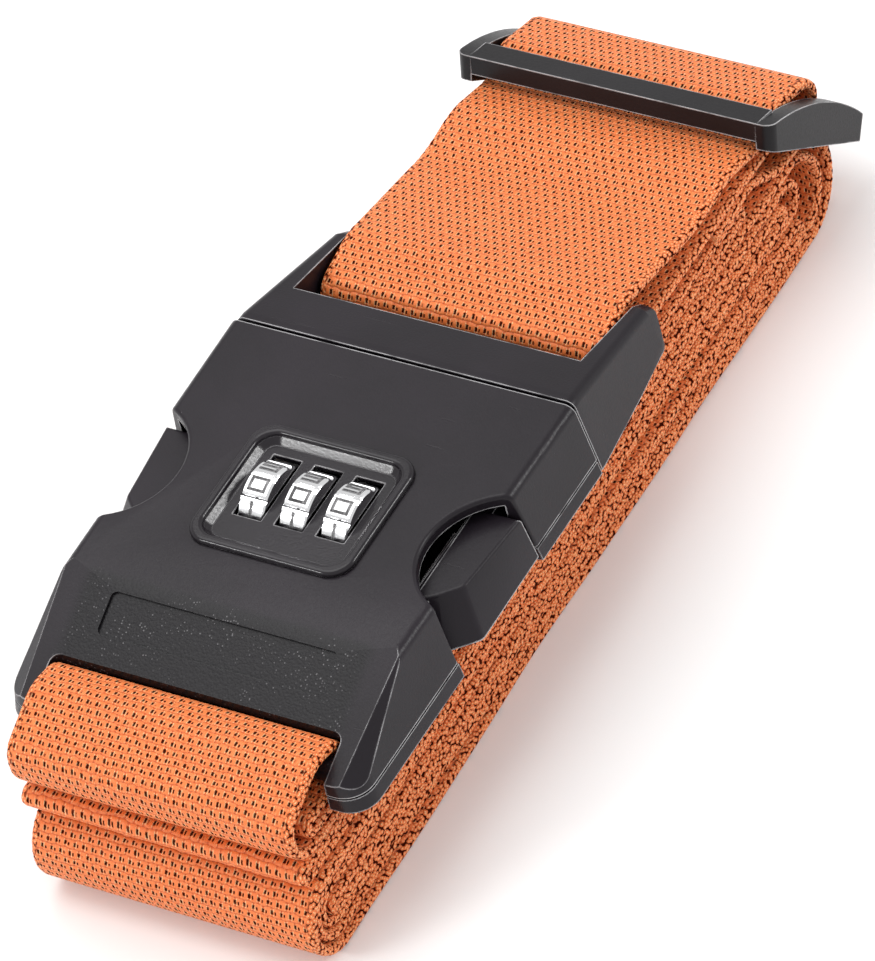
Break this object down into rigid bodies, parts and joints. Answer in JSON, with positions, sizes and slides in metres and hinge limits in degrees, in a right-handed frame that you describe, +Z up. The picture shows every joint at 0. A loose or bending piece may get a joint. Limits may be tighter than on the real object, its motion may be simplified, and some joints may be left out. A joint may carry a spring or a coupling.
{
  "type": "luggage strap",
  "caption": "Folded webbing luggage strap with a side-release buckle, a built-in dial combination lock and a tri-glide length adjuster.",
  "frame": {"origin": "middle of the folded pack's footprint, on the surface it lies on", "axes": "+X across the strap's width, +Y along the strap from the female buckle towards the tri-glide, +Z up through the stack of folds"},
  "size_m": [0.0654, 0.1752, 0.0408],
  "materials": {
    "webbing": "woven",
    "buckle_plastic": "satin",
    "frame_plastic": "satin",
    "triglide_plastic": "satin",
    "dial_metal": "polished",
    "inner_plastic": "moulded",
    "steel": "plain"
  },
  "bodies": {
    "housing": {"webbing_pack": "webbing", "female_top_shell": "buckle_plastic", "female_bottom_cover": "buckle_plastic", "case_screws": "steel", "dial_frame": "frame_plastic", "dial_shaft": "steel", "shaft_clips": "steel", "clutch_spring": "steel", "lock_springs": "steel", "detent_spring": "steel", "slider_retainer": "steel"},
    "slider": {"lock_slider": "steel"},
    "dial_left": {"dial_left": "dial_metal", "clutch_sleeve_left": "inner_plastic"},
    "dial_middle": {"dial_middle": "dial_metal", "clutch_sleeve_middle": "inner_plastic"},
    "dial_right": {"dial_right": "dial_metal", "clutch_sleeve_right": "inner_plastic"},
    "male": {"male_body": "buckle_plastic", "webbing_adjust_loop": "webbing"},
    "latch_left": {"latch_arm_left": "buckle_plastic"},
    "latch_right": {"latch_arm_right": "buckle_plastic"},
    "triglide": {"triglide": "triglide_plastic"}
  },
  "joints": [
    {"name": "male_slide", "type": "slide", "parent": "housing", "child": "male", "axis": [0, 1, 0], "range_m": [0, 0.046], "deforming": ["latch_arm_left", "latch_arm_right"]},
    {"name": "latch_left_squeeze", "type": "hinge", "parent": "male", "child": "latch_left", "pos_m": [-0.025, -0.0036, 0.031], "axis": [0, 0, 1], "range_deg": [0, 7.5], "stiffness_Nm_per_rad": 3},
    {"name": "latch_right_squeeze", "type": "hinge", "parent": "male", "child": "latch_right", "pos_m": [0.025, -0.0036, 0.031], "axis": [0, 0, -1], "range_deg": [0, 7.5], "stiffness_Nm_per_rad": 3},
    {"name": "lock_slide", "type": "slide", "parent": "housing", "child": "slider", "axis": [0, -1, 0], "range_m": [0, 0.00135], "deforming": ["lock_springs"]},
    {"name": "dial_left_turn", "type": "hinge", "parent": "housing", "child": "dial_left", "pos_m": [0, -0.0316, 0.0342], "axis": [1, 0, 0], "continuous": true},
    {"name": "dial_middle_turn", "type": "hinge", "parent": "housing", "child": "dial_middle", "pos_m": [0, -0.0316, 0.0342], "axis": [1, 0, 0], "continuous": true},
    {"name": "dial_right_turn", "type": "hinge", "parent": "housing", "child": "dial_right", "pos_m": [0, -0.0316, 0.0342], "axis": [1, 0, 0], "continuous": true},
    {"name": "triglide_rock", "type": "hinge", "parent": "male", "child": "triglide", "pos_m": [0, 0.0737, 0.0226], "axis": [1, 0, 0], "range_deg": [-6, 2]}
  ],
  "couplings": [
    {"joint": "latch_right_squeeze", "follows": "latch_left_squeeze", "ratio": 1},
    {"joint": "lock_slide", "follows": "latch_left_squeeze", "m_per_rad": 0.010313}
  ]
}
